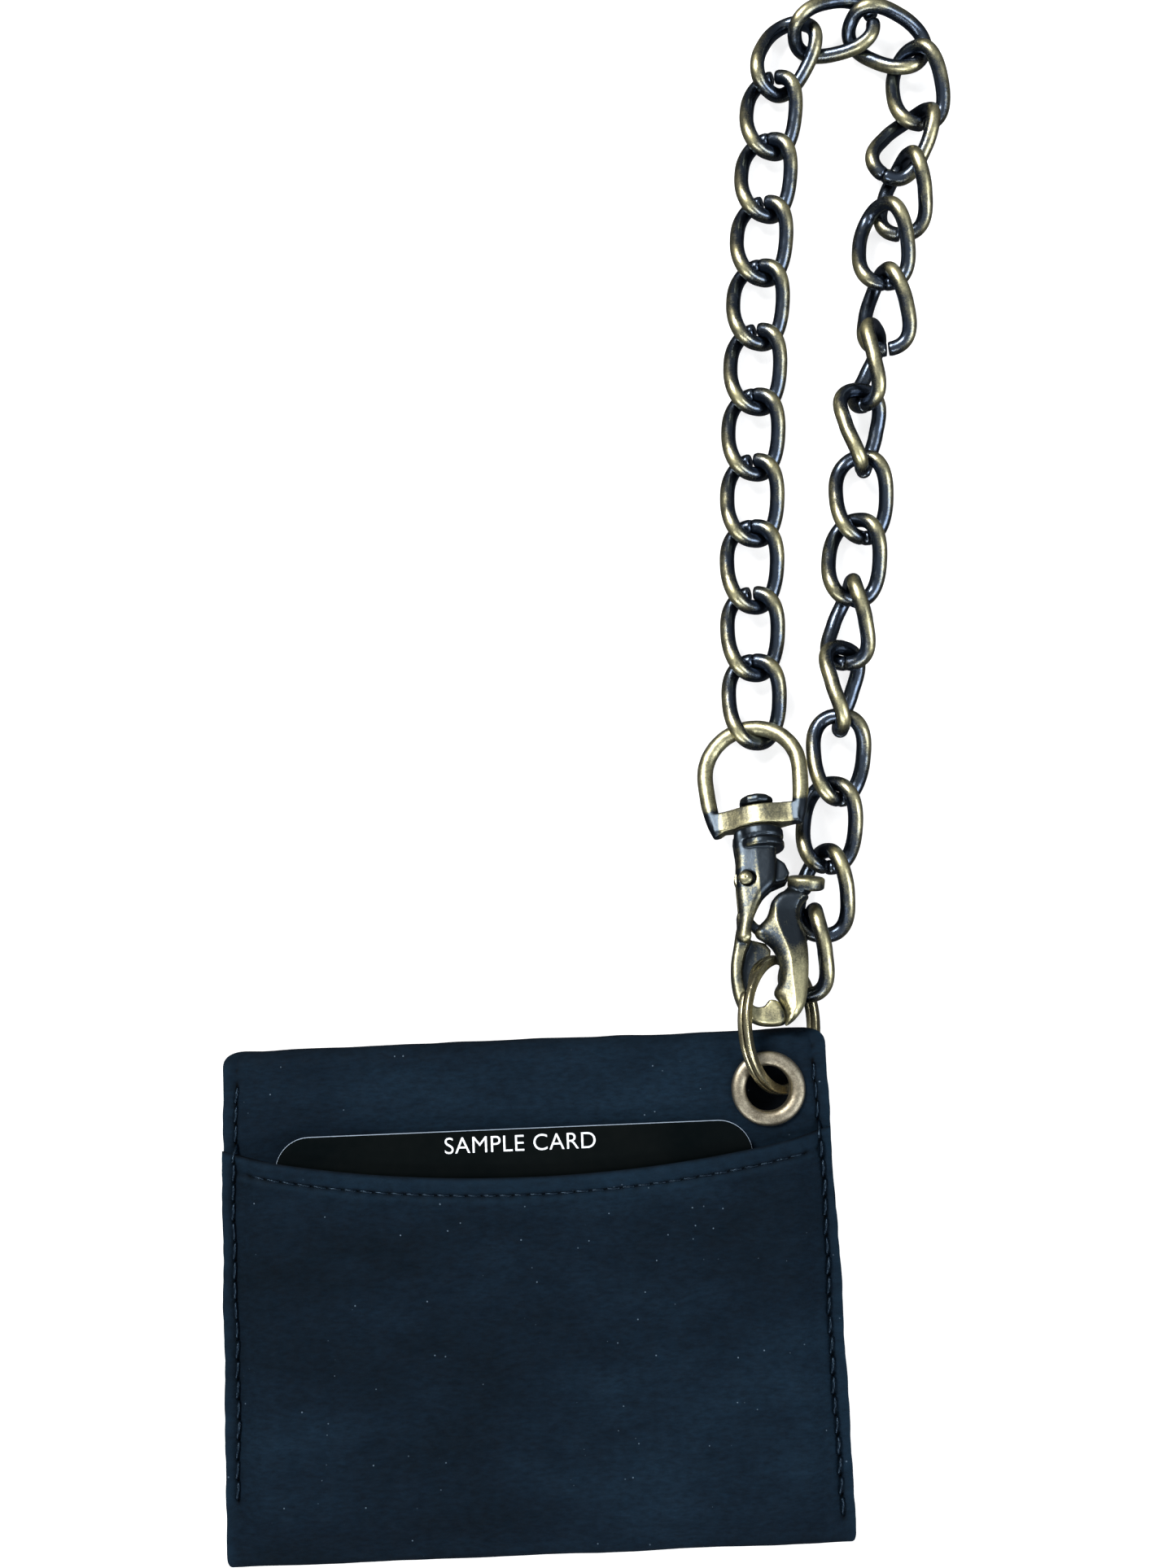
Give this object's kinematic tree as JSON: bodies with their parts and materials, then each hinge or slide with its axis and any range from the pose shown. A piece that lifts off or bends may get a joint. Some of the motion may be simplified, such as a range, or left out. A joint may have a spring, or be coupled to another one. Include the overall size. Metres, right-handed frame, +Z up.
{
  "type": "chain wallet",
  "caption": "Trifold leather wallet with a back card pocket, an eyelet and split ring, a trigger clasp on a swivel D-ring and a curb chain clipped back on the ring.",
  "frame": {"origin": "on the front cover's outer face, which lies on the table: midway along the folds and 43.5 mm from the edge with the eyelet", "axes": "+X along the folds to the eyelet side, +Y towards the edge with the eyelet and along the chain, +Z up through the closed wallet"},
  "size_m": [0.1477, 0.2979, 0.023],
  "materials": {
    "leather": "dark blue-black oiled nubuck, matte",
    "lining": "thin black inner leather",
    "antique_brass": "antique brass plating, dark in the recesses",
    "antique_nickel": "worn dull nickel",
    "card_stock": "semi-gloss black plastic card"
  },
  "bodies": {
    "front_cover": {"front_cover_leather": "leather", "front_cover_lining": "lining", "front_card_slot_1": "leather", "front_card_slot_2": "leather", "bottom_fold": "leather"},
    "back_panel": {"back_shell": "leather", "back_lining": "lining", "centre_card_slot_1": "leather", "centre_card_slot_2": "leather", "centre_card_slot_3": "leather", "back_pocket": "leather", "eyelet": "antique_nickel", "eyelet_washer": "antique_nickel", "top_fold": "leather"},
    "inner_flap": {"inner_flap_leather": "leather", "inner_flap_lining": "lining", "flap_card_slot_1": "leather", "flap_card_slot_2": "leather"},
    "card": {"card_insert": "card_stock"},
    "split_ring": {"split_ring": "antique_brass"},
    "loop_base": {"swivel_d_ring": "antique_brass", "chain_link_25": "antique_brass", "chain_link_26": "antique_brass", "chain_link_27": "antique_brass", "chain_link_28": "antique_brass"},
    "clasp": {"clasp_body": "antique_brass", "lever_rivet": "antique_brass"},
    "clasp_lever": {"clasp_lever": "antique_brass"},
    "rung_1": {"chain_link_01": "antique_brass", "chain_link_24": "antique_brass"},
    "rung_2": {"chain_link_02": "antique_brass", "chain_link_23": "antique_brass"},
    "rung_3": {"chain_link_03": "antique_brass", "chain_link_22": "antique_brass"},
    "rung_4": {"chain_link_04": "antique_brass", "chain_link_21": "antique_brass"},
    "rung_5": {"chain_link_05": "antique_brass", "chain_link_20": "antique_brass"},
    "rung_6": {"chain_link_06": "antique_brass", "chain_link_19": "antique_brass"},
    "rung_7": {"chain_link_07": "antique_brass", "chain_link_18": "antique_brass"},
    "rung_8": {"chain_link_08": "antique_brass", "chain_link_17": "antique_brass"},
    "chain_arch": {"chain_link_09": "antique_brass", "chain_link_10": "antique_brass", "chain_link_11": "antique_brass", "chain_link_12": "antique_brass", "chain_link_13": "antique_brass", "chain_link_14": "antique_brass", "chain_link_15": "antique_brass", "chain_link_16": "antique_brass"}
  },
  "joints": [
    {"name": "cover_fold", "type": "hinge", "parent": "front_cover", "child": "back_panel", "pos_m": [0, -0.0503, 0.0099], "axis": [1, 0, 0], "range_deg": [0, 175], "deforming": ["bottom_fold"]},
    {"name": "flap_fold", "type": "hinge", "parent": "back_panel", "child": "inner_flap", "pos_m": [0, 0.046, 0.0108], "axis": [1, 0, 0], "range_deg": [0, 33.25], "deforming": ["top_fold"]},
    {"name": "card_slide", "type": "slide", "parent": "back_panel", "child": "card", "axis": [0, 1, 0], "range_m": [0, 0.025]},
    {"name": "ring_swing", "type": "hinge", "parent": "back_panel", "child": "split_ring", "pos_m": [0.047, 0.033, 0.0153], "axis": [-1, 0, 0], "range_deg": [-6, 0]},
    {"name": "loop_swing", "type": "hinge", "parent": "split_ring", "child": "loop_base", "pos_m": [0.0464, 0.0556, 0.015], "axis": [-0.5248, 0.3034, 0.7953], "range_deg": [-20, 0]},
    {"name": "clasp_swivel", "type": "hinge", "parent": "loop_base", "child": "clasp", "pos_m": [0.0457, 0.0532, 0.0156], "axis": [-0.0202, 0.9657, -0.2588], "range_deg": [-30, 0]},
    {"name": "lever_pivot", "type": "hinge", "parent": "clasp", "child": "clasp_lever", "pos_m": [0.04232, 0.0711, 0.01079], "axis": [-0.0054, 0.2588, 0.9659], "range_deg": [0, 12], "stiffness_Nm_per_rad": 0.02, "springref_deg": -28.65},
    {"name": "chain_fold_1", "type": "hinge", "parent": "loop_base", "child": "rung_1", "pos_m": [0.0462, 0.0996, 0.0032], "axis": [-0.9881, -0.1052, -0.1126], "range_deg": [-8, 0]},
    {"name": "chain_fold_2", "type": "hinge", "parent": "rung_1", "child": "rung_2", "pos_m": [0.04692, 0.11305, 0.0032], "axis": [-0.9866, -0.0808, -0.1421], "range_deg": [-10, 0]},
    {"name": "chain_fold_3", "type": "hinge", "parent": "rung_2", "child": "rung_3", "pos_m": [0.04744, 0.12655, 0.0032], "axis": [-0.9948, -0.0425, -0.0927], "range_deg": [-6, 0]},
    {"name": "chain_fold_4", "type": "hinge", "parent": "rung_3", "child": "rung_4", "pos_m": [0.04813, 0.14005, 0.0032], "axis": [-0.9993, -0.0036, -0.0385], "range_deg": [-36, 0]},
    {"name": "chain_fold_5", "type": "hinge", "parent": "rung_4", "child": "rung_5", "pos_m": [0.04899, 0.15355, 0.0032], "axis": [-0.9976, 0.0199, -0.0657], "range_deg": [-6, 0]},
    {"name": "chain_fold_6", "type": "hinge", "parent": "rung_5", "child": "rung_6", "pos_m": [0.05002, 0.16705, 0.0032], "axis": [-0.9915, 0.0422, -0.1232], "range_deg": [-12, 0]},
    {"name": "chain_fold_7", "type": "hinge", "parent": "rung_6", "child": "rung_7", "pos_m": [0.05122, 0.18055, 0.0032], "axis": [-0.9895, 0.0905, -0.1123], "range_deg": [-8, 0]},
    {"name": "chain_fold_8", "type": "hinge", "parent": "rung_7", "child": "rung_8", "pos_m": [0.05259, 0.19405, 0.0032], "axis": [-0.9865, 0.1226, -0.1085], "range_deg": [-36, 0]},
    {"name": "chain_fold_9", "type": "hinge", "parent": "rung_8", "child": "chain_arch", "pos_m": [0.05413, 0.20755, 0.0032], "axis": [-0.9822, 0.164, -0.0915], "range_deg": [-22, 0]}
  ],
  "couplings": [
    {"joint": "flap_fold", "follows": "cover_fold", "ratio": 0.19}
  ]
}
